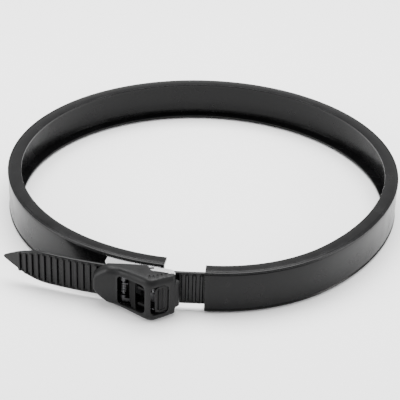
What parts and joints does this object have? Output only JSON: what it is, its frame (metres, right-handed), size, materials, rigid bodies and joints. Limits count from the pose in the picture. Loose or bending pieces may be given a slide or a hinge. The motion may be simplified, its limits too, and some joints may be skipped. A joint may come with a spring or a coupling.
{
  "type": "quick-release band clamp",
  "caption": "Open channel ring clamp closed by a ladder strap through a ratchet buckle with a pull lever and a ribbed release tab.",
  "frame": {"origin": "centre of the ring's main arc, at the middle of the band's width", "axes": "+Z along the ring's axis, -Y towards the buckle, +X towards the ring's end that holds the strap"},
  "size_m": [0.3008, 0.322, 0.0336],
  "materials": {
    "band_black": "fine satin moulded plastic",
    "lever_black": "fine textured moulded plastic",
    "strap_black": "satin moulded plastic",
    "bright_steel": "bright stainless sheet",
    "zinc_steel": "zinc-plated steel",
    "pawl_steel": "hardened steel, darker than the base",
    "spring_steel": "drawn spring wire"
  },
  "bodies": {
    "ring": {"clamp_band": "band_black", "buckle_base": "bright_steel", "base_rivets": "zinc_steel", "rivet_washers": "zinc_steel", "lever_axle": "zinc_steel", "lever_axle_washers": "zinc_steel", "pawl_axle": "zinc_steel", "pawl_axle_spacers": "zinc_steel", "lock_pawl_spring": "spring_steel"},
    "lever_arm": {"lever": "lever_black", "drive_pawl_pin": "zinc_steel", "drive_pawl_spring": "spring_steel", "release_tab_spring": "spring_steel"},
    "lock_pawl_arm": {"lock_pawl": "pawl_steel"},
    "drive_pawl_arm": {"drive_pawl": "pawl_steel"},
    "release": {"release_tab": "lever_black"},
    "strap_end": {"ladder_strap": "strap_black", "anchor_plate": "zinc_steel", "anchor_rivets": "zinc_steel"}
  },
  "joints": [
    {"name": "lever_swing", "type": "hinge", "parent": "ring", "child": "lever_arm", "pos_m": [-0.0195, -0.1598, 0], "axis": [0, 0, 1], "range_deg": [0, 75]},
    {"name": "drive_pawl_lift", "type": "hinge", "parent": "lever_arm", "child": "drive_pawl_arm", "pos_m": [-0.0305, -0.1609, 0], "axis": [0, 0, 1], "range_deg": [0, 14], "stiffness_Nm_per_rad": 0.02, "springref_deg": -17.19, "deforming": ["drive_pawl_spring"]},
    {"name": "release_press", "type": "hinge", "parent": "lever_arm", "child": "release", "pos_m": [-0.0195, -0.1598, 0], "axis": [0, 0, 1], "range_deg": [-5, 0], "stiffness_Nm_per_rad": 0.02, "springref_deg": 17.19, "deforming": ["release_tab_spring"]},
    {"name": "lock_pawl_lift", "type": "hinge", "parent": "ring", "child": "lock_pawl_arm", "pos_m": [-0.052, -0.1524, 0], "axis": [0, 0, 1], "range_deg": [0, 12], "stiffness_Nm_per_rad": 0.02, "springref_deg": -17.19, "deforming": ["lock_pawl_spring"]},
    {"name": "clamp_draw", "type": "hinge", "parent": "ring", "child": "strap_end", "pos_m": [0, 0.15, 0], "axis": [0, 0, 1], "range_deg": [-2.79, 8.37], "deforming": ["clamp_band"]}
  ],
  "couplings": [
    {"joint": "lock_pawl_lift", "follows": "release_press", "ratio": -2.4}
  ]
}
